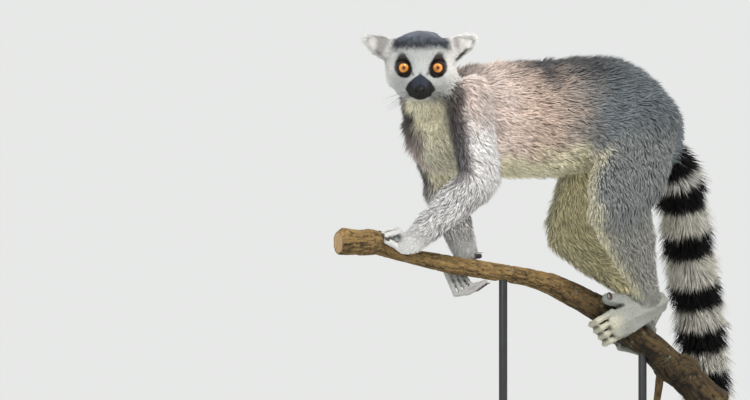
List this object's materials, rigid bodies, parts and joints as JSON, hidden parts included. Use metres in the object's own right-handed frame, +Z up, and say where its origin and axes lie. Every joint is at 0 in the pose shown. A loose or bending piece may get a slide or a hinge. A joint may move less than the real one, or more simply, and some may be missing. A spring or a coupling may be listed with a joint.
{
  "type": "ring-tailed lemur",
  "caption": "Still life-size ring-tailed lemur walking along a short cut length of branch with its head turned to its left and its ringed tail hanging, held over a flat base by two rods.",
  "frame": {"origin": "centre of the stand base's underside, on the floor", "axes": "+Z up; the branch and the spine run along X and the lemur faces -X, so its left side is -Y"},
  "size_m": [0.5894, 0.23, 0.6084],
  "materials": {
    "grey_fur": "short dense brown-grey fur",
    "pale_fur": "short white to cream fur",
    "ringed_fur": "long loose fur in black and white rings",
    "dark_skin": "bare black skin, slightly moist",
    "nail": "dark polished horn",
    "eye": "wet orange eye with a dark pupil",
    "bark": "rough tan-brown bark",
    "stand_metal": "satin dark grey paint",
    "stand_board": "board painted satin dark grey"
  },
  "bodies": {
    "root": {"chest": "grey_fur", "belly": "grey_fur", "rump": "grey_fur", "neck": "pale_fur", "head": "pale_fur", "ear_l": "pale_fur", "ear_r": "pale_fur", "upper_arm_l": "grey_fur", "forearm_l": "grey_fur", "thigh_l": "grey_fur", "shank_l": "grey_fur", "hand_l": "pale_fur", "hand_l_nail_1": "nail", "hand_l_nail_2": "nail", "hand_l_nail_3": "nail", "hand_l_nail_4": "nail", "hand_l_nail_5": "nail", "foot_l": "pale_fur", "foot_l_nail_1": "nail", "foot_l_nail_2": "nail", "foot_l_nail_3": "nail", "foot_l_nail_4": "nail", "foot_l_nail_5": "nail", "upper_arm_r": "grey_fur", "forearm_r": "grey_fur", "thigh_r": "grey_fur", "shank_r": "grey_fur", "hand_r": "pale_fur", "hand_r_nail_1": "nail", "hand_r_nail_2": "nail", "hand_r_nail_3": "nail", "hand_r_nail_4": "nail", "hand_r_nail_5": "nail", "foot_r": "pale_fur", "foot_r_nail_1": "nail", "foot_r_nail_2": "nail", "foot_r_nail_3": "nail", "foot_r_nail_4": "nail", "foot_r_nail_5": "nail", "tail_1": "ringed_fur", "tail_2": "ringed_fur", "tail_3": "ringed_fur", "tail_4": "ringed_fur", "tail_5": "ringed_fur", "tail_6": "ringed_fur", "eye_l": "eye", "eye_r": "eye", "nose": "dark_skin", "perch_branch": "bark", "stand_base": "stand_board", "stand_rod_front": "stand_metal", "stand_rod_rear": "stand_metal", "stand_collar_front": "stand_metal", "stand_collar_rear": "stand_metal"}
  },
  "joints": []
}
